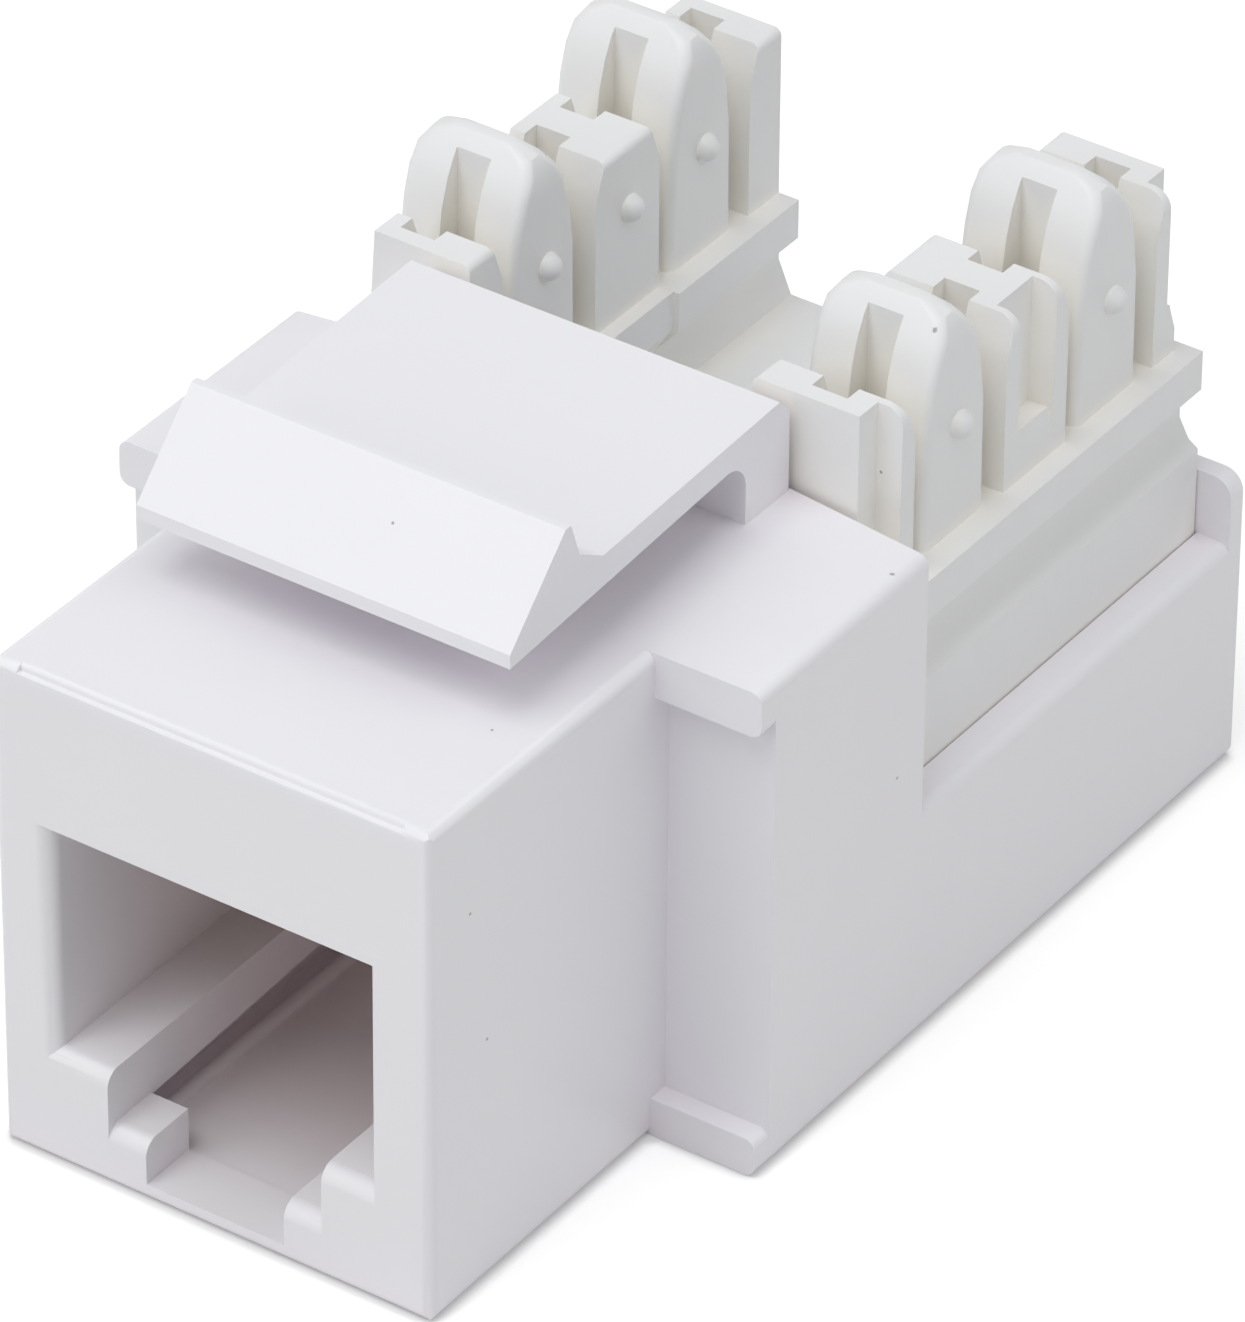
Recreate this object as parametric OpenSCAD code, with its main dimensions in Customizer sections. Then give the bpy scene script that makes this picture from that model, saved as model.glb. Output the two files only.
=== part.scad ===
// Wall-plate jack with a narrow plug opening at the front, a flexing latch on top
// and two rows of wire slots on a tray at the rear. Millimetres, +Z up, front towards -Y.
// Distances called "back" run from the front face towards the rear, "up" from the flat bottom.

/* [Body] */
// Width of the nose that passes through the wall plate
nose_width = 14.5; // [14.2:0.1:14.9]
// Height of the nose, flat bottom to flat top
nose_height = 16.2; // [15.8:0.1:16.6]
// Width of the wide body behind the nose
body_width = 21.4; // [20:0.1:22.5]
// Length of the whole jack, front face to rear wall
body_depth = 35.1; // [33:0.1:38]
// Back from the front face to the stop lips
lip_back = 10.4; // [9:0.1:11]
// Depth of the stop lips ahead of the recessed shoulder
lip_depth = 0.7; // [0.4:0.05:1]
// Height of the upper stop lip
top_lip_height = 1.45; // [1:0.05:2]
// Height of the lower stop lip
bottom_lip_height = 1.25; // [0.8:0.05:2]
// Back from the front face to the rear edge of the top plate
plate_back = 18.5; // [17:0.1:20]
// Radius on the long edges of the nose and body
edge_round = 0.35; // [0.2:0.05:0.6]
// Height of the low side walls of the rear tray
side_wall_height = 7.7; // [7:0.1:9]
// Thickness of the low side walls
side_wall = 1.1; // [0.8:0.05:1.5]
// Thickness of the rear wall
rear_wall = 0.65; // [0.5:0.05:1.2]
// Height of the rear wall
rear_wall_height = 9.85; // [8.5:0.05:11]
// Radius on the upper corners of the rear wall
rear_corner_round = 0.65; // [0.4:0.05:1]
// Rise of the top plate towards the latch leg
plate_rise = 0.45; // [0.1:0.05:0.7]
// Length over which the top plate rises
plate_ramp = 5.2; // [3:0.1:7]
// Thickness of the tray floor
tray_floor = 1.2; // [0.8:0.1:1.6]
// Depth of the moulded step along the front top edge
front_step = 0.22; // [0.1:0.02:0.4]
// Radius of the moulded step's upper edge
step_round = 0.15; // [0.05:0.01:0.2]
// Half length of the moulded step along the front top edge
front_step_half = 6.35; // [5:0.05:6.6]

/* [Plug opening] */
// Width of the opening for the plug
plug_width = 10.74; // [10:0.05:11]
// Up to the ceiling of the opening
plug_top = 11.28; // [10.8:0.02:11.6]
// Up to the side ledges that carry the plug
ledge_top = 3.75; // [3.4:0.05:4.2]
// Width of the channel between the ledges
channel_width = 7.2; // [6.4:0.1:7.6]
// Up to the top of the catch tabs
tab_top = 1.95; // [1.6:0.05:2.3]
// Gap between the catch tabs
tab_gap = 4.66; // [4:0.02:5.4]
// Depth of the catch tabs and the sill
tab_depth = 1.95; // [1.4:0.05:2.4]
// Up to the channel floor
sill_top = 0.55; // [0.4:0.05:0.8]
// Reach of the room under the ledges beyond the channel's sides
undercut_reach = 1.15; // [0.8:0.05:1.4]
// Up to the front end of the ledges' underside
undercut_top = 1.87; // [1.7:0.01:2.1]
// Rise of the ledges' underside towards the back
undercut_rise = 0.5; // [0.2:0.05:0.7]
// Distance from the channel's sides to the middle of the floor's side ribs
rib_reach = 0.38; // [0.3:0.02:0.6]
// Radius of the floor's side ribs
rib_radius = 0.26; // [0.15:0.01:0.35]
// Drop of the channel floor behind the sill
floor_drop = 0.08; // [0.02:0.02:0.2]
// Back to the end of the plug space
plug_depth = 12.7; // [12:0.1:13.5]
// Radius on the left edge of the opening and on the ledge fronts
mouth_round = 0.5; // [0.2:0.05:0.8]
// Thickness of the front wall above the opening
front_wall = 1.7; // [1.2:0.1:2.2]
// Thickness of the roof over the contact carrier
roof = 1.4; // [1:0.1:2]
// Half width of the room for the contact carrier
carrier_half = 5.6; // [5.4:0.05:6]
// Distance from the tray's inner side to the room for the board
board_inset = 0.3; // [0.1:0.05:0.6]

/* [Latch] */
// Width of the latch
latch_width = 12.3; // [11.5:0.1:13]
// Back to the thin front lip of the latch
latch_lip_back = 5.2; // [4.8:0.05:5.8]
// Up to the underside at the front lip
latch_lip_low = 18.2; // [17.9:0.05:18.6]
// Height of the thin front lip
latch_lip_height = 0.45; // [0.3:0.05:0.7]
// Back to the ridge that snaps behind the wall plate
ridge_back = 7.75; // [7.2:0.05:8.4]
// Up to the ridge
ridge_top = 21.25; // [20.6:0.05:21.8]
// Width of the flat on the ridge
ridge_flat = 0.25; // [0.1:0.05:0.5]
// Back to the foot of the ridge's rear face
valley_back = 8.4; // [8:0.05:9]
// Up to the foot of the ridge's rear face
valley_high = 20.1; // [19.6:0.05:20.6]
// Back to the start of the level arm
arm_back = 9.5; // [9:0.05:10.5]
// Up to the top of the arm behind the ridge
arm_top = 19.45; // [19:0.05:20]
// Up to the top of the arm at its rear end
arm_rear_top = 19.8; // [19.4:0.05:20.4]
// Up to the underside of the arm near the leg
arm_low = 18.8; // [18.4:0.05:19.1]
// Thickness of the leg that joins arm and top plate
leg_thick = 2.1; // [1.6:0.05:2.6]
// Gap between the leg's rear face and the rear edge of the plate
leg_inset = 0.1; // [0:0.02:0.4]
// Radius of the inner corner under the arm
leg_inner_round = 0.9; // [0.5:0.05:1.4]
// Radius of the outer corner over the leg
leg_outer_round = 0.5; // [0.3:0.05:1]

/* [Wire rows] */
// Distance from the tray's inner side to the outer face of each row
row_inset = 0.55; // [0.3:0.05:0.9]
// Width of a row of teeth
row_width = 4.33; // [4:0.01:4.8]
// Distance from the top plate to the front end of each row
row_front_gap = 0.17; // [0.1:0.01:0.4]
// Width of a wire slot
slot_width = 0.7; // [0.5:0.02:0.9]
// Up to the rails and the bottom of the slots
rail_top = 14.15; // [13.8:0.05:14.5]
// Up to the top of the tall teeth
tall_top = 21.4; // [20.6:0.05:22.2]
// Distance that the tall teeth stand in from the row's faces
tall_inset = 0.13; // [0.05:0.01:0.3]
// Growth of the rear tall teeth over the front ones
rear_gain = 0.06; // [0:0.02:0.12]
// Radius of the tall teeth's upright edges
tall_edge_round = 0.32; // [0.1:0.02:0.5]
// Up to the top of the short teeth
short_top = 19.7; // [19.3:0.05:20.2]
// Radius of the tall teeth's upper corners seen from the front
tall_round = 1.1; // [0.8:0.05:1.8]
// Radius of the short teeth's outer upper corners seen from the front
short_round = 0.6; // [0.3:0.05:1]
// Radius of the short teeth's inner upper corners seen from the front
short_inner_round = 0.25; // [0.1:0.05:0.6]
// Width across the row of the contact grooves
contact_groove = 1.17; // [1:0.01:1.4]
// Thickness of the wall that a tooth keeps between its two grooves
groove_wall = 1.14; // [0.9:0.02:1.6]
// Distance from the row's outer face to the back of the side pockets
pocket_inset = 0.82; // [0.5:0.02:1.2]
// Thickness of the thin walls beside the pockets
pocket_wall = 0.45; // [0.35:0.05:0.7]
// Up to the foot of the pockets
pocket_foot = 15.6; // [15:0.05:16.4]
// Drop of the pockets' foot at the row's outer face
pocket_drop = 0.7; // [0.3:0.05:1.1]
// Width of the outer part of the pockets' foot that falls
pocket_lip = 0.2; // [0.1:0.02:0.4]
// Depth that the front pockets' foot lies below the others
front_foot_drop = 0.5; // [0.2:0.05:0.8]
// Distance that the rear pockets' foot stops short of the row's end
rear_foot_gap = 0.45; // [0.2:0.05:0.8]
// Lean of the open pockets' back face in the left row
pocket_lean = 0.3; // [0.1:0.05:0.5]
// Radius of the small round bumps
bump_radius = 0.43; // [0.3:0.01:0.55]
// Up to the centre of the bumps
bump_up = 17.6; // [17.2:0.05:18]
// Distance of the bumps behind the middle of their tooth
bump_shift = 0.1; // [0:0.05:0.3]

/* [Block base] */
// Up to the underside of the block, where it rests on the board
block_low = 7; // [6.6:0.05:7.4]
// Up to the floor between the rows
mid_floor = 10.6; // [9.8:0.05:10.8]
// Distance from the row face to the outer edge of each rail
rail_reach = 0.7; // [0.5:0.05:1.1]
// Height of the rails' upright faces
rail_height = 1.3; // [1:0.05:1.6]
// Drop of the sloping underside of the rails
rail_slope = 0.95; // [0.6:0.05:1.2]
// Distance that the recess under the rails stands in from the row's faces
recess_inset = 0.15; // [0.05:0.05:0.3]
// Reach of the leaning flanks under the recess
flank_reach = 0.45; // [0.2:0.05:0.7]
// Back to the step in the inner rails
rail_step_back = 28; // [27:0.1:29]
// Depth of the step in the inner rails
rail_step = 0.2; // [0.1:0.02:0.3]
// Clearance between the block and the tray
block_gap = 0.05; // [0.02:0.01:0.1]
// Distance from the rear wall to the rear ends of rails and teeth
row_end_gap = 0.34; // [0.2:0.01:0.6]

/* [Contacts and board] */
// Thickness of the flat contact forks
fork_thick = 0.45; // [0.3:0.05:0.6]
// Up to the tips of the forks
fork_top = 17.9; // [17:0.1:18.6]
// Width of the cutting slot in the forks
fork_slot = 0.3; // [0.2:0.02:0.4]
// Up to the bottom of the cutting slot
fork_slot_low = 14.4; // [14.2:0.05:15]
// Height of the lead-in at the fork tips
fork_mouth_height = 0.8; // [0.5:0.05:1.2]
// Up to the shoulder where the forks narrow to their stems
fork_shoulder = 10.9; // [10.4:0.05:11.4]
// Width of the pins that pass through the board
pin_width = 0.6; // [0.5:0.05:0.7]
// Up to the lower ends of the pins
pin_low = 4.1; // [3.8:0.05:4.6]
// Thickness of the board
board_thick = 1.6; // [1.5:0.1:1.6]
// Back to the front edge of the board
board_back = 13.3; // [13:0.05:13.8]
// Radius of the holes for the contact pins
pin_hole = 0.5; // [0.4:0.02:0.6]
// Thickness of the spring wires
wire = 0.46; // [0.42:0.01:0.5]
// Pitch of the spring wires
wire_pitch = 1.02; // [1:0.01:1.05]
// Up to the level run of the wires in the carrier
wire_up = 12.05; // [11.9:0.05:12.4]
// Back to the front bend of the wires
wire_front = 2.8; // [2.5:0.05:3.2]
// Back to the free ends of the wires
wire_end_back = 13.1; // [12.9:0.05:13.3]
// Up to the free ends of the wires
wire_end_up = 8.1; // [7.6:0.05:8.6]
// Back to the nearer line of wire tails
tail_near = 14.7; // [14.5:0.05:15]
// Back to the farther line of wire tails
tail_far = 16.3; // [16:0.05:16.6]
// Radius of the holes for the wire tails
tail_hole = 0.35; // [0.3:0.01:0.4]
// Clearance around the carrier
carrier_gap = 0.05; // [0.02:0.01:0.1]
// Width of the wire grooves in the carrier
wire_groove = 0.54; // [0.5:0.01:0.6]
// Depth of the guide slots for the free ends
guide_depth = 0.75; // [0.6:0.05:0.9]
// Back to the rear face of the carrier
carrier_end = 18.3; // [17.8:0.05:18.4]

/* [Hidden] */
$fn = 32;
over = 0.5;
tiny = 0.01;
half_nose = nose_width / 2;
half_body = body_width / 2;
shoulder_back = lip_back + lip_depth;
tray_half = half_body - side_wall;
tray_end = body_depth - rear_wall;
carrier_top = nose_height - roof;
board_low = block_low - board_thick;
board_room_half = tray_half - board_inset;
half_row = row_width / 2;
row_out = tray_half - row_inset;
row_in = row_out - row_width;
row_centre = row_out - half_row;
row_start = plate_back + row_front_gap;
row_end = tray_end - row_end_gap;
slot_pitch = (row_end - row_start) / 4;
first_slot_back = row_start + slot_pitch / 2;
groove_reach = (slot_pitch - groove_wall) / 2;
tooth_half = (slot_pitch - slot_width) / 2;
tooth_1 = first_slot_back + slot_pitch / 2;
tooth_2 = tooth_1 + slot_pitch;
tooth_3 = tooth_2 + slot_pitch;
tooth_4 = tooth_3 + slot_pitch;
last_slot_end = tooth_4 - tooth_half;
rib_inset = 1;
shelf_low = 3.2;
partition = 1;
high_shares = [0, 0.5, 0.7, 0.82, 0.9, 0.96, 1];
thick_shares = [1, 0.97, 0.84, 0.67, 0.48, 0.29, 0.13];
lead_share = 0.28;
round_share = 0.8;
foot_share = 0.72;
mouth_share = 0.333;
stem_share = 0.555;
bevel_share = 0.3;

// Puts the jack's middle on the Y axis' zero.
module centred() {
    translate([0, -body_depth / 2, 0])
        children();
}

// A profile drawn as width and height, carried from one distance back to another.
module along_y(start, end) {
    translate([0, end, 0])
        rotate([90, 0, 0])
            linear_extrude(height = end - start)
                children();
}

// A profile drawn as distance back and height, carried from one side to another.
module along_x(start, end) {
    translate([start, 0, 0])
        rotate([90, 0, 90])
            linear_extrude(height = end - start)
                children();
}

// A box between two corners.
module span(low, high) {
    translate(low)
        cube([high[0] - low[0], high[1] - low[1], high[2] - low[2]]);
}

// A flat rectangle with four rounded corners.
module round_rect(low, high, r) {
    translate([low[0] + r, low[1]])
        square([high[0] - low[0] - 2 * r, high[1] - low[1]]);
    translate([low[0], low[1] + r])
        square([high[0] - low[0], high[1] - low[1] - 2 * r]);
    for (x = [low[0] + r, high[0] - r]) {
        for (y = [low[1] + r, high[1] - r]) {
            translate([x, y])
                circle(r = r);
        }
    }
}

// A flat rectangle with its two upper corners rounded, left and right radius apart.
module round_top(low, high, r_left, r_right) {
    top = max(r_left, r_right);
    translate([low[0] + r_left, low[1]])
        square([high[0] - low[0] - r_left - r_right, high[1] - low[1]]);
    translate([low[0], low[1]])
        square([high[0] - low[0], high[1] - low[1] - top]);
    translate([low[0], low[1]])
        square([r_left + tiny, high[1] - low[1] - r_left]);
    translate([high[0] - r_right - tiny, low[1]])
        square([r_right + tiny, high[1] - low[1] - r_right]);
    translate([low[0] + r_left, high[1] - r_left])
        circle(r = r_left);
    translate([high[0] - r_right, high[1] - r_right])
        circle(r = r_right);
}

// What a radius takes off a square corner at the origin, pointing to plus and plus.
module corner_loss(r) {
    difference() {
        translate([-over, -over])
            square([r + over, r + over]);
        translate([r, r])
            circle(r = r);
        translate([-over, r])
            square([tiny, tiny]);
    }
}

// Nose: the round-edged box ahead of the stop lips.
module nose_solid() {
    intersection() {
        along_y(0, shoulder_back + tiny)
            round_rect([-half_nose, 0], [half_nose, nose_height], edge_round);
        along_x(-half_nose, half_nose)
            round_rect([0, 0], [shoulder_back + 2 * edge_round, nose_height], edge_round);
        linear_extrude(height = nose_height)
            round_rect([-half_nose, 0], [half_nose, shoulder_back + 2 * edge_round], edge_round);
    }
}

// Wide body: tall part, stop lips, low tray and rear wall, all still solid.
module body_solid() {
    along_y(shoulder_back, plate_back)
        round_rect([-half_body, 0], [half_body, nose_height], edge_round);
    along_y(lip_back, shoulder_back + tiny)
        round_rect([-half_body, nose_height - top_lip_height], [half_body, nose_height], edge_round);
    along_y(lip_back, shoulder_back + tiny)
        round_rect([-half_body, 0], [half_body, bottom_lip_height], edge_round);
    along_y(plate_back - tiny, tray_end + tiny)
        round_rect([-half_body, 0], [half_body, side_wall_height], edge_round);
    along_y(tray_end, body_depth)
        round_top([-half_body, edge_round], [half_body, rear_wall_height],
            rear_corner_round, rear_corner_round);
    along_y(tray_end, body_depth)
        round_rect([-half_body, 0], [half_body, side_wall_height], edge_round);
}

// Low rise of the top plate towards the foot of the latch leg, falling to both sides.
module plate_crown() {
    half_latch = latch_width / 2;
    side = half_body - edge_round;
    intersection() {
        along_x(-side, side)
            polygon([
                [lip_back, nose_height - edge_round],
                [lip_back + edge_round, nose_height],
                [lip_back + plate_ramp, nose_height + plate_rise],
                [plate_back, nose_height + plate_rise],
                [plate_back, nose_height - edge_round]]);
        along_y(lip_back, plate_back)
            polygon([
                [-side, nose_height - edge_round],
                [-side, nose_height],
                [-half_latch, nose_height + plate_rise],
                [half_latch, nose_height + plate_rise],
                [side, nose_height],
                [side, nose_height - edge_round]]);
    }
}

// Side view of the latch: leg, arm, valley, ridge, front slope and thin lip.
module latch_profile() {
    leg_back = plate_back - leg_inset;
    leg_front = leg_back - leg_thick;
    difference() {
        polygon([
            [latch_lip_back, latch_lip_low],
            [latch_lip_back, latch_lip_low + latch_lip_height],
            [ridge_back, ridge_top],
            [ridge_back + ridge_flat, ridge_top],
            [valley_back, valley_high],
            [arm_back, arm_top],
            [leg_back - leg_outer_round, arm_rear_top],
            [leg_back, arm_rear_top - leg_outer_round],
            [leg_back, nose_height - tiny],
            [leg_front, nose_height - tiny],
            [leg_front, arm_low - leg_inner_round],
            [leg_front - leg_inner_round, arm_low]]);
        translate([leg_front - leg_inner_round, arm_low - leg_inner_round])
            circle(r = leg_inner_round);
    }
}

// Room that runs on under the ledges behind the catch tabs, less the floor's two side ribs.
module undercut(half_channel) {
    low = sill_top - floor_drop;
    difference() {
        along_x(-half_channel - undercut_reach, half_channel + undercut_reach)
            polygon([
                [tab_depth, low],
                [plug_depth, low],
                [plug_depth, undercut_top + undercut_rise],
                [tab_depth, undercut_top]]);
        for (s = [-1, 1]) {
            along_y(tab_depth - over, plug_depth + over)
                translate([s * (half_channel + rib_reach), low])
                    circle(r = rib_radius);
        }
    }
}

// Room for the plug: main space, channel, catch tabs, sill and the room under the ledges.
module plug_room() {
    half_plug = plug_width / 2;
    half_channel = channel_width / 2;
    half_tab = tab_gap / 2;
    span([-half_plug, -over, ledge_top], [half_plug, plug_depth, plug_top]);
    span([-half_channel, -over, tab_top], [half_channel, plug_depth, ledge_top + tiny]);
    span([-half_channel, tab_depth, sill_top - floor_drop], [half_channel, plug_depth, tab_top + tiny]);
    span([-half_tab, -over, sill_top], [half_tab, tab_depth + tiny, tab_top + tiny]);
    undercut(half_channel);
    translate([-half_plug, 0, ledge_top])
        linear_extrude(height = plug_top - ledge_top)
            mirror([1, 0])
                corner_loss(mouth_round);
    intersection() {
        translate([-half_plug, 0, ledge_top - mouth_round])
            linear_extrude(height = mouth_round + tiny)
                mirror([1, 0])
                    corner_loss(mouth_round);
        along_x(-half_plug - mouth_round, tiny - half_plug)
            translate([0, ledge_top])
                mirror([0, 1])
                    corner_loss(mouth_round);
    }
    for (s = [0, 1]) {
        mirror([s, 0, 0])
            along_x(half_channel, half_plug)
                translate([0, ledge_top])
                    mirror([0, 1])
                        corner_loss(mouth_round);
        mirror([s, 0, 0])
            along_x(half_tab, half_channel)
                translate([0, tab_top])
                    mirror([0, 1])
                        corner_loss(mouth_round);
    }
}

// Room behind and above the plug for carrier, board and pins.
module inner_room() {
    span([-carrier_half, front_wall, plug_top - tiny],
        [carrier_half, plate_back + over, carrier_top]);
    span([-carrier_half, plug_depth, block_low - tiny],
        [carrier_half, plate_back + over, carrier_top]);
    span([-board_room_half, plug_depth, board_low],
        [board_room_half, plate_back + over, block_low]);
    span([-tray_half + rib_inset, plug_depth + partition, shelf_low],
        [tray_half - rib_inset, tray_end - partition, board_low + tiny]);
    span([-tray_half, plate_back, board_low],
        [tray_half, tray_end, nose_height]);
    span([-tray_half + rib_inset, plate_back + partition, tray_floor],
        [tray_half - rib_inset, tray_end - partition, shelf_low + tiny]);
}

// The one-piece front moulding with its latch.
module housing() {
    color([0.89, 0.89, 0.91])
        centred() {
            difference() {
                union() {
                    nose_solid();
                    body_solid();
                    plate_crown();
                }
                plug_room();
                inner_room();
                span([-front_step_half, -over, nose_height - front_step],
                    [front_step_half, front_step, nose_height + over]);
                along_x(-front_step_half, front_step_half)
                    translate([front_step, nose_height])
                        mirror([0, 1])
                            corner_loss(step_round);
            }
            along_x(-latch_width / 2, latch_width / 2)
                latch_profile();
        }
}

// One level slice of a tall tooth, thinner and narrower towards the top.
module tall_slice(at, k, gain) {
    rise = tall_top + gain - rail_top;
    up = rise * high_shares[k];
    into = max(0, up - rise + tall_round);
    inset = tall_inset - gain + tall_round - sqrt(pow(tall_round, 2) - pow(into, 2));
    thick = tooth_half * thick_shares[k];
    corner = min(tall_edge_round, thick * round_share);
    translate([0, 0, rail_top + up - tiny])
        linear_extrude(height = tiny)
            round_rect([row_in + inset, at - thick], [row_out - inset, at + thick], corner);
}

// One tall tooth with grooves for the contacts and round bumps on both sides.
module tall_tooth(at, gain) {
    inset = tall_inset - gain;
    difference() {
        hull() {
            for (k = [0:6]) {
                tall_slice(at, k, gain);
            }
        }
        contact_grooves(at);
    }
    for (x = [row_in + inset, row_out - inset]) {
        translate([x, at + bump_shift, bump_up])
            sphere(r = bump_radius);
    }
}

// Grooves in both faces of the tooth at this place.
module contact_grooves(at) {
    reach = groove_wall / 2;
    for (s = [-1, 1]) {
        near = at + s * reach;
        far = at + s * slot_pitch / 2;
        span([row_centre - contact_groove / 2, min(near, far), rail_top],
            [row_centre + contact_groove / 2, max(near, far), tall_top + over]);
    }
}

// Side view of a short tooth with its sloping lead-ins.
module short_side(low, high, cut_low, cut_high) {
    drop = short_round * 2;
    polygon([
        [low, rail_top - tiny],
        [low, short_top - drop],
        [low + cut_low, short_top],
        [high - cut_high, short_top],
        [high, short_top - drop],
        [high, rail_top - tiny]]);
}

// Room that a pocket takes from the outer side of a short tooth, down to its foot.
module pocket_cut(low, high, foot, lean) {
    inner = row_out - pocket_inset;
    along_y(low, high)
        polygon([
            [inner, foot],
            [row_out - pocket_lip, foot],
            [row_out, foot - pocket_drop],
            [row_out + over, foot - pocket_drop],
            [row_out + over, short_top + over],
            [inner - lean, short_top + over]]);
}

// The full short tooth in the middle; its outer pocket has walls, or is open in the left row.
module short_tooth(walled) {
    at = tooth_2;
    lead = tooth_half * lead_share;
    deep = walled ? tooth_half - pocket_wall - lead / 2 : tooth_half + slot_width / 2;
    difference() {
        intersection() {
            along_x(row_in, row_out)
                short_side(at - tooth_half, at + tooth_half, lead, lead);
            along_y(at - slot_pitch, at + slot_pitch)
                round_top([row_in, rail_top - tiny], [row_out, short_top],
                    short_inner_round, short_round);
        }
        contact_grooves(at);
        pocket_cut(at - deep, at + deep, pocket_foot, walled ? 0 : pocket_lean);
    }
    translate([row_in, at + bump_shift, bump_up])
        sphere(r = bump_radius);
}

// Half tooth at the front end, its pocket open to the front.
module front_tooth(walled) {
    lead = tooth_half * lead_share;
    high = first_slot_back - slot_width / 2;
    deep = walled ? high - pocket_wall - lead / 2 : high + slot_width / 2;
    difference() {
        intersection() {
            along_x(row_in, row_out)
                short_side(row_start, high, tiny, lead);
            along_y(row_start - over, high + over)
                round_top([row_in, rail_top - tiny], [row_out, short_top],
                    short_inner_round, short_round);
        }
        contact_grooves(first_slot_back - slot_pitch / 2);
        pocket_cut(row_start - over, deep, pocket_foot - front_foot_drop, walled ? 0 : pocket_lean);
    }
}

// Half tooth at the rear end, its pocket open to the rear.
module rear_tooth(walled) {
    lead = tooth_half * lead_share;
    deep = walled ? last_slot_end + pocket_wall + lead / 2 : last_slot_end - slot_width / 2;
    difference() {
        intersection() {
            along_x(row_in, row_out)
                short_side(last_slot_end, row_end, lead, tiny);
            along_y(last_slot_end - over, row_end + over)
                round_top([row_in, rail_top - tiny], [row_out, short_top],
                    short_inner_round, short_round);
        }
        contact_grooves(tooth_4);
        pocket_cut(deep, row_end + over, pocket_foot, walled ? 0 : pocket_lean);
        span([row_out - pocket_inset, row_end - rear_foot_gap, rail_top],
            [row_out + over, row_end + over, short_top + over]);
    }
}

// Cross-section of one rail with its sloping underside.
module rail_profile(step) {
    rail_low = rail_top - rail_height;
    recess = rail_low - rail_slope;
    polygon([
        [row_out - recess_inset, recess],
        [row_out + rail_reach, rail_low],
        [row_out + rail_reach, rail_top],
        [row_in - rail_reach + step, rail_top],
        [row_in - rail_reach + step, rail_low],
        [row_in + recess_inset, recess]]);
}

// Cross-section of the base under the right row: floor, leaning flanks and skirt.
module base_profile() {
    recess = rail_top - rail_height - rail_slope;
    outer = tray_half - block_gap;
    flank_in = row_in + recess_inset;
    flank_out = row_out - recess_inset;
    polygon([
        [-tiny, block_low],
        [outer, block_low],
        [outer, mid_floor],
        [flank_out + flank_reach * foot_share, mid_floor + flank_reach / 2],
        [flank_out, recess - flank_reach],
        [flank_out, recess + tiny],
        [flank_in, recess + tiny],
        [flank_in, recess - flank_reach / 2],
        [flank_in - flank_reach, mid_floor],
        [-tiny, mid_floor]]);
}

// Base of the block without teeth, right half.
module base_half() {
    front = plate_back + block_gap;
    along_y(front, tray_end - block_gap)
        base_profile();
    along_y(front, rail_step_back)
        rail_profile(rail_step);
    along_y(rail_step_back - tiny, row_end)
        rail_profile(0);
}

// Right half of the block: base, five teeth and passages for four contacts.
module block_half(walled) {
    difference() {
        union() {
            base_half();
            front_tooth(walled);
            tall_tooth(tooth_1, 0);
            short_tooth(walled);
            tall_tooth(tooth_3, rear_gain);
            rear_tooth(walled);
        }
        for (i = [0:3]) {
            at = first_slot_back + i * slot_pitch;
            span([row_centre - fork_thick / 2 - tiny, at - groove_reach, block_low - over],
                [row_centre + fork_thick / 2 + tiny, at + groove_reach, rail_top + tiny]);
        }
    }
}

// The wire block with its two rows.
module idc_block() {
    color([0.87, 0.88, 0.87])
        centred() {
            block_half(true);
            mirror([1, 0, 0])
                block_half(false);
        }
}

// Insert that holds the six spring wires over and behind the plug.
module contact_carrier() {
    half = carrier_half - carrier_gap;
    color([0.80, 0.80, 0.80])
        centred()
            difference() {
                union() {
                    span([-half, front_wall + carrier_gap, plug_top],
                        [half, carrier_end, carrier_top - carrier_gap]);
                    span([-half, plug_depth + carrier_gap, block_low],
                        [half, carrier_end, plug_top + tiny]);
                }
                for (i = [0:5]) {
                    x = (i - 2.5) * wire_pitch;
                    tail = i % 2 == 0 ? tail_near : tail_far;
                    span([x - wire_groove / 2, front_wall, plug_top - over],
                        [x + wire_groove / 2, plug_depth + over, wire_up + wire_groove / 2]);
                    span([x - wire_groove / 2, plug_depth, wire_up - wire_groove / 2],
                        [x + wire_groove / 2, tail + wire_groove / 2, wire_up + wire_groove / 2]);
                    span([x - wire_groove / 2, plug_depth, block_low + carrier_gap],
                        [x + wire_groove / 2, plug_depth + guide_depth, wire_up]);
                    span([x - wire_groove / 2, tail - wire_groove / 2, block_low - over],
                        [x + wire_groove / 2, tail + wire_groove / 2, wire_up]);
                }
            }
}

// Board that joins the wires to the contacts.
module circuit_board() {
    color([0.16, 0.36, 0.24])
        centred()
            difference() {
                union() {
                    span([-board_room_half + block_gap, board_back, board_low],
                        [board_room_half - block_gap, tray_end - block_gap, block_low]);
                }
                for (s = [-1, 1]) {
                    for (i = [0:3]) {
                        translate([s * row_centre, first_slot_back + i * slot_pitch, board_low - over])
                            cylinder(r = pin_hole, h = board_thick + 2 * over);
                    }
                }
                for (i = [0:5]) {
                    tail = i % 2 == 0 ? tail_near : tail_far;
                    translate([(i - 2.5) * wire_pitch, tail, board_low - over])
                        cylinder(r = tail_hole, h = board_thick + 2 * over);
                }
            }
}

// One straight run of wire between two points given as distance back and height.
module wire_run(from, to) {
    run = sqrt(pow(to[0] - from[0], 2) + pow(to[1] - from[1], 2));
    translate([0, from[0], from[1]])
        rotate([atan2(from[0] - to[0], to[1] - from[1]), 0, 0])
            cylinder(r = wire / 2, h = run);
}

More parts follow.
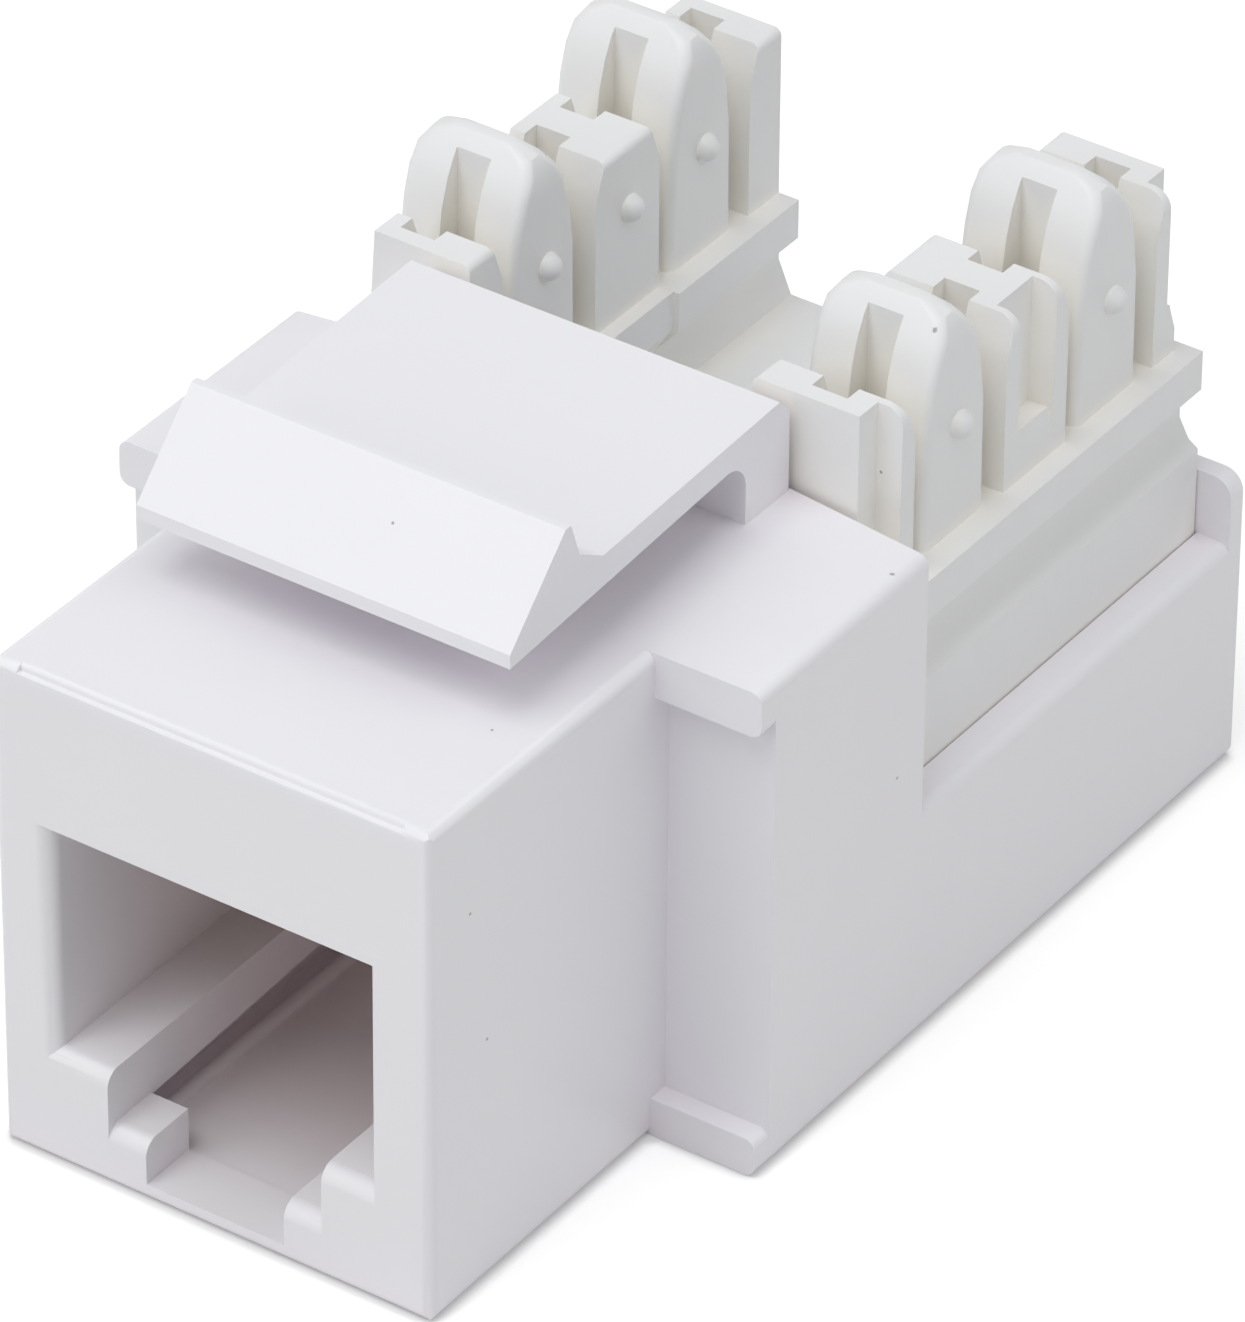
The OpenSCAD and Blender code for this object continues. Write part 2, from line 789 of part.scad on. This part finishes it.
// One spring wire: tail, level run, front bend and sloping free end.
module contact_spring(i) {
    tail = i % 2 == 0 ? tail_near : tail_far;
    points = [[tail, pin_low], [tail, wire_up], [wire_front, wire_up], [wire_end_back, wire_end_up]];
    color([0.85, 0.68, 0.32])
        centred()
            translate([(i - 2.5) * wire_pitch, 0, 0])
                union() {
                    for (k = [0:2]) {
                        wire_run(points[k], points[k + 1]);
                    }
                    for (k = [1:3]) {
                        translate([0, points[k][0], points[k][1]])
                            sphere(r = wire / 2);
                    }
                }
}

// Flat outline of one fork contact, drawn across the slot, with a stem and a pin.
module fork_profile() {
    reach = groove_reach - tiny;
    bevel = reach * bevel_share;
    mouth = reach * mouth_share;
    stem = reach * stem_share;
    polygon([
        [-pin_width / 2, pin_low],
        [-pin_width / 2, block_low],
        [-stem, block_low],
        [-stem, fork_shoulder],
        [-reach, fork_shoulder],
        [-reach, fork_top - bevel],
        [-reach + bevel, fork_top],
        [-mouth, fork_top],
        [-fork_slot / 2, fork_top - fork_mouth_height],
        [-fork_slot / 2, fork_slot_low],
        [fork_slot / 2, fork_slot_low],
        [fork_slot / 2, fork_top - fork_mouth_height],
        [mouth, fork_top],
        [reach - bevel, fork_top],
        [reach, fork_top - bevel],
        [reach, fork_shoulder],
        [stem, fork_shoulder],
        [stem, block_low],
        [pin_width / 2, block_low],
        [pin_width / 2, pin_low]]);
}

// One fork contact; side is -1 for the left row and 1 for the right row.
module idc_contact(side, i) {
    color([0.72, 0.62, 0.42])
        centred()
            translate([side * row_centre, first_slot_back + i * slot_pitch, 0])
                along_x(-fork_thick / 2, fork_thick / 2)
                    fork_profile();
}

module contact_spring_1() { contact_spring(0); }
module contact_spring_2() { contact_spring(1); }
module contact_spring_3() { contact_spring(2); }
module contact_spring_4() { contact_spring(3); }
module contact_spring_5() { contact_spring(4); }
module contact_spring_6() { contact_spring(5); }
module idc_contact_1() { idc_contact(-1, 0); }
module idc_contact_2() { idc_contact(-1, 1); }
module idc_contact_3() { idc_contact(-1, 2); }
module idc_contact_4() { idc_contact(-1, 3); }
module idc_contact_5() { idc_contact(1, 0); }
module idc_contact_6() { idc_contact(1, 1); }
module idc_contact_7() { idc_contact(1, 2); }
module idc_contact_8() { idc_contact(1, 3); }

housing();
idc_block();
contact_carrier();
circuit_board();
contact_spring_1();
contact_spring_2();
contact_spring_3();
contact_spring_4();
contact_spring_5();
contact_spring_6();
idc_contact_1();
idc_contact_2();
idc_contact_3();
idc_contact_4();
idc_contact_5();
idc_contact_6();
idc_contact_7();
idc_contact_8();
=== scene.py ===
import math
import bmesh
import bpy
from mathutils import Matrix, Vector

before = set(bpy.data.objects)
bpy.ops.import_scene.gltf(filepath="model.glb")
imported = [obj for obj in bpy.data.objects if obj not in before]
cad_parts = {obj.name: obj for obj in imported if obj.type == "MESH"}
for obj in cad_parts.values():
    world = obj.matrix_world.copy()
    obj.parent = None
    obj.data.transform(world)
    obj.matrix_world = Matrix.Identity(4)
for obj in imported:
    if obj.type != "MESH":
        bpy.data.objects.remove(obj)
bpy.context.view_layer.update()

MM = 0.001
FRONT = -17.55 * MM  # the nose's front face, in the row's frame

# The camera stands on a turn, a height and a distance from the point it aims at, with a slight tilt.
CAMERA_TURN = math.radians(34.41)
CAMERA_HEIGHT = math.radians(34.89)
CAMERA_TILT = math.radians(0.49)
CAMERA_DISTANCE = 0.28942
CAMERA_AIM = Vector((0.00646, 0.010 - 0.01755, 0.01587))
PICTURE_WIDTH = 1245.0
FOCAL_PIXELS = 10795.1
SENSOR_WIDTH = 36.0

# The plug opening, as far as its painted shade reaches: half its width, its roof, its floor and its
# depths, in mm.
OPENING_HALF = 6.9
OPENING_ROOF = 15.6
OPENING_FLOOR = 0.3
OPENING_END = 17.6
OPENING_BLEND = 0.1
OPENING_SHADE_START = -1.5
OPENING_SHADE_FULL = 8.5

# Housing plastic, a cool white; block plastic, a warmer one; carrier plastic, a dull grey.
HOUSING_LIT = (0.870, 0.873, 0.903, 1.0)
HOUSING_CLOUDY = (0.850, 0.853, 0.886, 1.0)
# HOUSING_SHADED is painted shade: a mauve tone for the housing's shaded hollows.
HOUSING_SHADED = (0.890, 0.858, 0.905, 1.0)
# Painted shade: a darker pink inside the plug opening.
OPENING_PAINTED_SHADE = (0.880, 0.793, 0.820, 1.0)
BLOCK_LIT = (0.838, 0.845, 0.853, 1.0)
BLOCK_CLOUDY = (0.820, 0.826, 0.832, 1.0)
# Painted light: warm bounce light in the block's slots and between its teeth.
BLOCK_SLOT_PAINTED_LIGHT = (0.968, 0.952, 0.908, 1.0)
CARRIER_LIT = (0.40, 0.38, 0.38, 1.0)
CARRIER_CLOUDY = (0.36, 0.34, 0.34, 1.0)
# Painted shade: a darker grey in the carrier's hollows.
CARRIER_PAINTED_SHADE = (0.24, 0.22, 0.22, 1.0)

SPECK_COLOUR = (0.13, 0.11, 0.12, 1.0)
SPECK_STRENGTH = 0.62
# Each speck's place and size in mm.
HOUSING_SPECKS = [((10.343, -0.341, 16.201), 0.075), ((7.25, -15.735, 12.696), 0.06),
                  ((7.25, -14.958, 8.091), 0.06), ((5.722, -12.567, 16.2), 0.04),
                  ((1.299, -10.871, 20.158), 0.05), ((10.7, -0.377, 9.583), 0.05)]
BLOCK_SPECKS = [((8.5, 4.379, 20.877), 0.08), ((8.381, 2.029, 17.467), 0.055)]

SPRING_BRIGHT = (0.83, 0.62, 0.28, 1.0)
SPRING_DULL = (0.70, 0.50, 0.22, 1.0)
FORK_BRIGHT = (0.60, 0.52, 0.36, 1.0)
FORK_DULL = (0.42, 0.36, 0.25, 1.0)
BOARD_GREEN = (0.02, 0.13, 0.06, 1.0)
BOARD_TRACK = (0.05, 0.22, 0.10, 1.0)
WHITE = (1.0, 1.0, 1.0, 1.0)

# Edge rounding of each kind of node, in mm, and the angles that count as an edge or a crease.
EDGES = {"housing": 0.16, "idc_block": 0.07, "contact_carrier": 0.05,
         "circuit_board": 0.0, "contact_spring": 0.0, "idc_contact": 0.0}
FLAT_ANGLE = math.radians(0.5)
EDGE_ANGLE = math.radians(60.0)
CREASE_ANGLE = math.radians(32.0)

FLOOR_HALF = 1.2
FLOOR_DROP = 0.00002
FLOOR_COLOUR = (0.72, 0.72, 0.72, 1.0)
FLOOR_GLOW = 0.46
# Within this reach of the part, the floor's glow dims to this level: a painted contact shadow.
PAINTED_SHADOW_GLOW = 0.15
PAINTED_SHADOW_REACH = 0.5 * MM
WORLD_LIGHT = 0.40
WORLD_GLOSS = 0.5

LAMP_AIM = (0.0, 0.0, 0.01)
# Name, place, size in metres, power in watts.
LAMPS = [("top_lamp", (0.03, -0.04, 0.60), 0.50, 0.50),
         ("front_lamp", (0.0, -0.24, 0.55), 0.35, 0.98),
         ("high_left_lamp", (-0.25, -0.25, 0.50), 0.35, 0.32),
         ("left_lamp", (-0.25, -0.55, 0.30), 0.35, 0.60),
         ("right_lamp", (0.45, 0.15, 0.38), 0.35, 0.42)]


def place_camera():
    """Set the camera at the photograph's angle, with no shift and no depth of field."""
    away = Vector((math.sin(CAMERA_TURN) * math.cos(CAMERA_HEIGHT),
                   -math.cos(CAMERA_TURN) * math.cos(CAMERA_HEIGHT),
                   math.sin(CAMERA_HEIGHT)))
    level = (-away).cross(Vector((0.0, 0.0, 1.0))).normalized()
    upright = level.cross(-away)
    right = level * math.cos(CAMERA_TILT) + upright * math.sin(CAMERA_TILT)
    top = upright * math.cos(CAMERA_TILT) - level * math.sin(CAMERA_TILT)
    turn = Matrix((right, top, away)).transposed()
    data = bpy.data.cameras.new("camera")
    data.sensor_fit = "HORIZONTAL"
    data.sensor_width = SENSOR_WIDTH
    data.lens = SENSOR_WIDTH * FOCAL_PIXELS / PICTURE_WIDTH
    data.clip_start = 0.01
    data.clip_end = 5.0
    camera = bpy.data.objects.new("camera", data)
    bpy.context.scene.collection.objects.link(camera)
    camera.matrix_world = Matrix.Translation(CAMERA_AIM + away * CAMERA_DISTANCE) @ turn.to_4x4()
    bpy.context.scene.camera = camera


class Graph:
    """A few short calls for building a node tree."""

    def __init__(self, tree):
        self.tree = tree

    def add(self, kind, **settings):
        """A new node with its settings."""
        node = self.tree.nodes.new(kind)
        for key, value in settings.items():
            setattr(node, key, value)
        return node

    def put(self, socket, value):
        """Link a socket to an input, or set the input's value."""
        if isinstance(value, bpy.types.NodeSocket):
            self.tree.links.new(value, socket)
        else:
            socket.default_value = value

    def where(self):
        """The place on the object, in metres."""
        return self.add("ShaderNodeTexCoord").outputs["Object"]

    def maths(self, operation, first, second):
        """One sum of two values."""
        node = self.add("ShaderNodeMath", operation=operation)
        self.put(node.inputs[0], first)
        self.put(node.inputs[1], second)
        return node.outputs[0]

    def ramp(self, value, low, high, out_low=0.0, out_high=1.0):
        """A soft step from one value to another, held at both ends."""
        node = self.add("ShaderNodeMapRange", clamp=True, interpolation_type="SMOOTHSTEP")
        self.put(node.inputs["Value"], value)
        self.put(node.inputs["From Min"], low)
        self.put(node.inputs["From Max"], high)
        self.put(node.inputs["To Min"], out_low)
        self.put(node.inputs["To Max"], out_high)
        return node.outputs["Result"]

    def mix(self, share, first, second):
        """A mix of two colours."""
        node = self.add("ShaderNodeMix", data_type="RGBA", blend_type="MIX")
        self.put(node.inputs["Factor"], share)
        self.put(node.inputs[6], first)
        self.put(node.inputs[7], second)
        return node.outputs[2]

    def noise(self, where, scale, detail, roughness):
        """Noise between 0 and 1."""
        node = self.add("ShaderNodeTexNoise")
        self.put(node.inputs["Vector"], where)
        self.put(node.inputs["Scale"], scale)
        self.put(node.inputs["Detail"], detail)
        self.put(node.inputs["Roughness"], roughness)
        return node.outputs["Fac"]

    def bump(self, strength, distance, height):
        """A normal that follows a height."""
        node = self.add("ShaderNodeBump")
        node.inputs["Strength"].default_value = strength
        node.inputs["Distance"].default_value = distance
        self.put(node.inputs["Height"], height)
        return node.outputs["Normal"]

    def use(self, group, **values):
        """A group node with its inputs set."""
        node = self.add("ShaderNodeGroup")
        node.node_tree = group
        for label, value in values.items():
            self.put(node.inputs[label.replace("_", " ")], value)
        return node


def new_group(name, takes, gives):
    """A shader node group with named inputs and outputs."""
    group = bpy.data.node_groups.new(name, "ShaderNodeTree")
    for label, kind, value in takes:
        socket = group.interface.new_socket(name=label, in_out="INPUT", socket_type=kind)
        if value is not None:
            socket.default_value = value
    for label, kind in gives:
        group.interface.new_socket(name=label, in_out="OUTPUT", socket_type=kind)
    graph = Graph(group)
    return group, graph, graph.add("NodeGroupInput"), graph.add("NodeGroupOutput")


def make_moulded_surface():
    """Fine mould texture, soft flow clouds and an uneven polish, over the object's own coordinates."""
    cloud_scale, wave_scale, wave_depth = 0.22 / MM, 0.55 / MM, 0.9
    group, g, takes, gives = new_group(
        "moulded_surface",
        [("Grain Size", "NodeSocketFloat", 0.35), ("Grain Depth", "NodeSocketFloat", 0.3)],
        [("Height", "NodeSocketFloat"), ("Cloud", "NodeSocketFloat"), ("Polish", "NodeSocketFloat")])
    where = g.where()
    fine = g.noise(where, g.maths("DIVIDE", 1.0 / MM, takes.outputs["Grain Size"]), 3.0, 0.55)
    broad = g.noise(where, cloud_scale, 2.0, 0.5)
    waves = g.noise(where, wave_scale, 1.0, 0.4)
    grain = g.maths("MULTIPLY", fine, takes.outputs["Grain Depth"])
    g.put(gives.inputs["Height"], g.maths("ADD", grain, g.maths("MULTIPLY", waves, wave_depth)))
    g.put(gives.inputs["Cloud"], broad)
    g.put(gives.inputs["Polish"], g.ramp(fine, 0.3, 0.7))
    return group


def make_hollow_painted_shade():
    """How deep the surface lies in a slot or hollow, where painted shade or painted bounce light is mixed
    into the plastic's colour.
    """
    group, g, takes, gives = new_group(
        "hollow_painted_shade",
        [("Reach", "NodeSocketFloat", 2.0), ("Open", "NodeSocketFloat", 0.6),
         ("Shut", "NodeSocketFloat", 0.1)],
        [("Hollow", "NodeSocketFloat")])
    sky_share = g.add("ShaderNodeAmbientOcclusion", samples=8)
    g.put(sky_share.inputs["Distance"], g.maths("MULTIPLY", takes.outputs["Reach"], MM))
    hollow = g.ramp(sky_share.outputs["AO"], takes.outputs["Open"], takes.outputs["Shut"])
    g.put(gives.inputs["Hollow"], hollow)
    return group


def make_speck():
    """One tiny dark speck moulded into the plastic, with a ragged outline, at a place in millimetres."""
    ragged_scale, ragged_depth = 9.0 / MM, 0.09
    outer_share, inner_share = 1.15, 0.55
    group, g, takes, gives = new_group(
        "speck",
        [("Place", "NodeSocketVector", None), ("Size", "NodeSocketFloat", 0.07)],
        [("Speck", "NodeSocketFloat")])
    where = g.where()
    scaled = g.add("ShaderNodeVectorMath", operation="SCALE")
    g.put(scaled.inputs[0], where)
    scaled.inputs["Scale"].default_value = 1.0 / MM
    ragged = g.maths("SUBTRACT", g.noise(where, ragged_scale, 2.0, 0.6), 0.5)
    away = g.add("ShaderNodeVectorMath", operation="DISTANCE")
    g.put(away.inputs[0], scaled.outputs[0])
    g.put(away.inputs[1], takes.outputs["Place"])
    far = g.maths("ADD", away.outputs["Value"], g.maths("MULTIPLY", ragged, ragged_depth))
    speck = g.ramp(g.maths("DIVIDE", far, takes.outputs["Size"]), outer_share, inner_share)
    g.put(gives.inputs["Speck"], speck)
    return group


def new_material(name):
    """An empty material with a Principled shader and its output."""
    material = bpy.data.materials.new(name)
    material.use_nodes = True
    tree = material.node_tree
    tree.nodes.clear()
    g = Graph(tree)
    out = g.add("ShaderNodeOutputMaterial")
    shader = g.add("ShaderNodeBsdfPrincipled")
    tree.links.new(shader.outputs["BSDF"], out.inputs["Surface"])
    return material, g, shader


def slots_of(reach, open_at, shut_at):
    """A mask for plastic whose slots, grooves and shaded corners are what lies deep, where painted shade
    or painted bounce light goes.
    """
    return lambda g: g.use(HOLLOW, Reach=reach, Open=open_at, Shut=shut_at).outputs["Hollow"]


def plug_opening(g):
    """A mask for painted shade on the housing: 0 outside the plug opening, rising with the way into it.
    """
    place = g.add("ShaderNodeSeparateXYZ")
    g.put(place.inputs["Vector"], g.where())
    beside = g.ramp(g.maths("ABSOLUTE", place.outputs["X"], 0.0),
                    OPENING_HALF * MM, (OPENING_HALF - OPENING_BLEND) * MM)
    below = g.ramp(place.outputs["Z"], OPENING_ROOF * MM, (OPENING_ROOF - OPENING_BLEND) * MM)
    above = g.ramp(place.outputs["Z"], OPENING_FLOOR * MM, (OPENING_FLOOR + OPENING_BLEND) * MM)
    # The painted shade deepens with the way into the opening.
    inward = g.ramp(place.outputs["Y"], FRONT + OPENING_SHADE_START * MM, FRONT + OPENING_SHADE_FULL * MM)
    ahead = g.ramp(place.outputs["Y"], FRONT + OPENING_END * MM,
                   FRONT + (OPENING_END - 2.0 * OPENING_BLEND) * MM)
    across = g.maths("MULTIPLY", beside, g.maths("MULTIPLY", below, above))
    return g.maths("MULTIPLY", across, g.maths("MULTIPLY", inward, ahead))


def plastic(name, lit, cloudy, painted_hollows, rough, grain, depth, specks):
    """Moulded plastic: its lit colour, a cloudier one, each hollow with its painted shade or painted
    bounce light, and its specks.
    """
    material, g, shader = new_material(name)
    surface = g.use(MOULDED, Grain_Size=grain, Grain_Depth=depth)
    colour = g.mix(surface.outputs["Cloud"], lit, cloudy)
    # Each hollow's painted shade or painted bounce light is mixed into the colour.
    for hollow, painted_colour in painted_hollows:
        colour = g.mix(hollow(g), colour, painted_colour)
    for place, size in specks:
        speck = g.use(SPECK, Place=place, Size=size).outputs["Speck"]
        colour = g.mix(g.maths("MULTIPLY", speck, SPECK_STRENGTH), colour, SPECK_COLOUR)
    g.put(shader.inputs["Base Color"], colour)
    polish = g.ramp(surface.outputs["Polish"], 0.0, 1.0, rough - 0.04, rough + 0.05)
    g.put(shader.inputs["Roughness"], polish)
    g.put(shader.inputs["Normal"], g.bump(0.25, 0.02 * MM, surface.outputs["Height"]))
    return material


def metal(name, bright, dull, rough):
    """Stamped and plated metal with drawn lines along its length and a dull bloom."""
    line_stretch, line_scale, bloom_scale = 0.12, 9.0 / MM, 0.7 / MM
    material, g, shader = new_material(name)
    where = g.where()
    stretch = g.add("ShaderNodeMapping")
    stretch.inputs["Scale"].default_value = (1.0, line_stretch, 1.0)
    g.put(stretch.inputs["Vector"], where)
    lines = g.noise(stretch.outputs["Vector"], line_scale, 3.0, 0.6)
    bloom = g.noise(where, bloom_scale, 3.0, 0.6)
    g.put(shader.inputs["Base Color"], g.mix(g.ramp(bloom, 0.35, 0.7), bright, dull))
    shader.inputs["Metallic"].default_value = 1.0
    g.put(shader.inputs["Roughness"], g.ramp(lines, 0.25, 0.75, rough - 0.06, rough + 0.1))
    g.put(shader.inputs["Normal"], g.bump(0.2, 0.01 * MM, lines))
    return material


def circuit_board():
    """Green circuit board with faint tracks under the lacquer."""
    track_scale, track_width = 0.5 / MM, 0.04
    material, g, shader = new_material("board")
    brick = g.add("ShaderNodeTexBrick")
    g.put(brick.inputs["Vector"], g.where())
    brick.inputs["Scale"].default_value = track_scale
    brick.inputs["Mortar Size"].default_value = track_width
    g.put(shader.inputs["Base Color"], g.mix(brick.outputs["Fac"], BOARD_GREEN, BOARD_TRACK))
    shader.inputs["Roughness"].default_value = 0.35
    return material


def soften(piece, width):
    """Join the solid's triangles, round its edges as a mould does and shade its curves smoothly."""
    piece.data.shade_smooth()
    weld = piece.modifiers.new("weld", "WELD")
    weld.merge_threshold = 0.0001 * MM
    if width > 0.0:
        flat = piece.modifiers.new("flat", "DECIMATE")
        flat.decimate_type = "DISSOLVE"
        flat.angle_limit = FLAT_ANGLE
        edge = piece.modifiers.new("edge", "BEVEL")
        edge.width = width * MM
        edge.segments = 3
        edge.profile = 0.5
        edge.limit_method = "ANGLE"
        edge.angle_limit = EDGE_ANGLE
        edge.use_clamp_overlap = True
        edge.miter_outer = "MITER_ARC"
    split = piece.modifiers.new("split", "EDGE_SPLIT")
    split.split_angle = CREASE_ANGLE
    even = piece.modifiers.new("even", "WEIGHTED_NORMAL")
    even.mode = "FACE_AREA"
    even.weight = 100


def finish_nodes():
    """Give each CAD node its material and its soft edges."""
    for name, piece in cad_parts.items():
        kind = next(key for key in EDGES if name.startswith(key))
        piece.data.materials.clear()
        piece.data.materials.append(FINISHES[kind])
        for slot in piece.material_slots:
            slot.material = FINISHES[kind]
        soften(piece, EDGES[kind])


def make_floor():
    """A pale floor that shows white to the camera and still takes the part's shadow, with a painted
    contact shadow where its glow dims close to the part.
    """
    mesh = bpy.data.meshes.new("floor")
    plane = bmesh.new()
    bmesh.ops.create_grid(plane, x_segments=1, y_segments=1, size=FLOOR_HALF)
    plane.to_mesh(mesh)
    plane.free()
    floor = bpy.data.objects.new("floor", mesh)
    bpy.context.scene.collection.objects.link(floor)
    floor.location.z = -FLOOR_DROP
    material = bpy.data.materials.new("floor")
    material.use_nodes = True
    tree = material.node_tree
    tree.nodes.clear()
    g = Graph(tree)
    out = g.add("ShaderNodeOutputMaterial")
    matt = g.add("ShaderNodeBsdfDiffuse")
    matt.inputs["Color"].default_value = FLOOR_COLOUR
    glow = g.add("ShaderNodeEmission")
    glow.inputs["Color"].default_value = WHITE
    path = g.add("ShaderNodeLightPath")
    seen = g.maths("MAXIMUM", path.outputs["Is Camera Ray"], path.outputs["Is Glossy Ray"])
    # Painted contact shadow: the glow dims where the part stands close to the floor.
    painted_contact_shadow = g.add("ShaderNodeAmbientOcclusion", samples=8)
    painted_contact_shadow.inputs["Distance"].default_value = PAINTED_SHADOW_REACH
    strength = g.ramp(painted_contact_shadow.outputs["AO"], 0.5, 0.9, PAINTED_SHADOW_GLOW, FLOOR_GLOW)
    g.put(glow.inputs["Strength"], g.maths("MULTIPLY", seen, strength))
    both = g.add("ShaderNodeAddShader")
    tree.links.new(matt.outputs["BSDF"], both.inputs[0])
    tree.links.new(glow.outputs["Emission"], both.inputs[1])
    tree.links.new(both.outputs["Shader"], out.inputs["Surface"])
    mesh.materials.append(material)


def make_world(level):
    """Even white surroundings: level for the light, plain white for the camera, between for gloss."""
    world = bpy.data.worlds.new("studio")
    bpy.context.scene.world = world
    world.use_nodes = True
    tree = world.node_tree
    tree.nodes.clear()
    g = Graph(tree)
    out = g.add("ShaderNodeOutputWorld")
    sky = g.add("ShaderNodeBackground")
    sky.inputs["Color"].default_value = WHITE
    path = g.add("ShaderNodeLightPath")
    seen = g.maths("MAXIMUM", path.outputs["Is Camera Ray"], path.outputs["Is Transmission Ray"])
    gloss = g.maths("MULTIPLY", path.outputs["Is Glossy Ray"], WORLD_GLOSS)
    g.put(sky.inputs["Strength"], g.ramp(g.maths("MAXIMUM", seen, gloss), 0.0, 1.0, level, 1.0))
    tree.links.new(sky.outputs["Background"], out.inputs["Surface"])


def make_lamp(name, place, size, power):
    """A square soft lamp at place, facing the part, in metres and watts."""
    data = bpy.data.lights.new(name, "AREA")
    data.shape = "SQUARE"
    data.size = size
    data.energy = power
    lamp = bpy.data.objects.new(name, data)
    bpy.context.scene.collection.objects.link(lamp)
    lamp.location = place
    lamp.rotation_euler = (Vector(LAMP_AIM) - Vector(place)).to_track_quat("-Z", "Y").to_euler()


place_camera()

MOULDED = make_moulded_surface()
HOLLOW = make_hollow_painted_shade()
SPECK = make_speck()

FINISHES = {
    "housing": plastic("housing_plastic", HOUSING_LIT, HOUSING_CLOUDY,
                       # Painted shade in the housing's hollows and inside its plug opening.
                       [(slots_of(4.5, 0.80, 0.30), HOUSING_SHADED), (plug_opening, OPENING_PAINTED_SHADE)],
                       0.36, 0.25, 0.25, HOUSING_SPECKS),
    "idc_block": plastic("block_plastic", BLOCK_LIT, BLOCK_CLOUDY,
                         # Painted warm bounce light in the block's slots.
                         [(slots_of(2.6, 0.86, 0.36), BLOCK_SLOT_PAINTED_LIGHT)],
                         0.46, 0.3, 0.4, BLOCK_SPECKS),
    "contact_carrier": plastic("carrier_plastic", CARRIER_LIT, CARRIER_CLOUDY,
                               # Painted shade in the carrier's hollows.
                               [(slots_of(2.0, 0.7, 0.2), CARRIER_PAINTED_SHADE)],
                               0.42, 0.3, 0.4, []),
    "circuit_board": circuit_board(),
    "contact_spring": metal("spring_metal", SPRING_BRIGHT, SPRING_DULL, 0.24),
    "idc_contact": metal("fork_metal", FORK_BRIGHT, FORK_DULL, 0.38)}
finish_nodes()

make_floor()
make_world(WORLD_LIGHT)
for lamp_values in LAMPS:
    make_lamp(*lamp_values)

bpy.context.scene.view_settings.view_transform = "Standard"
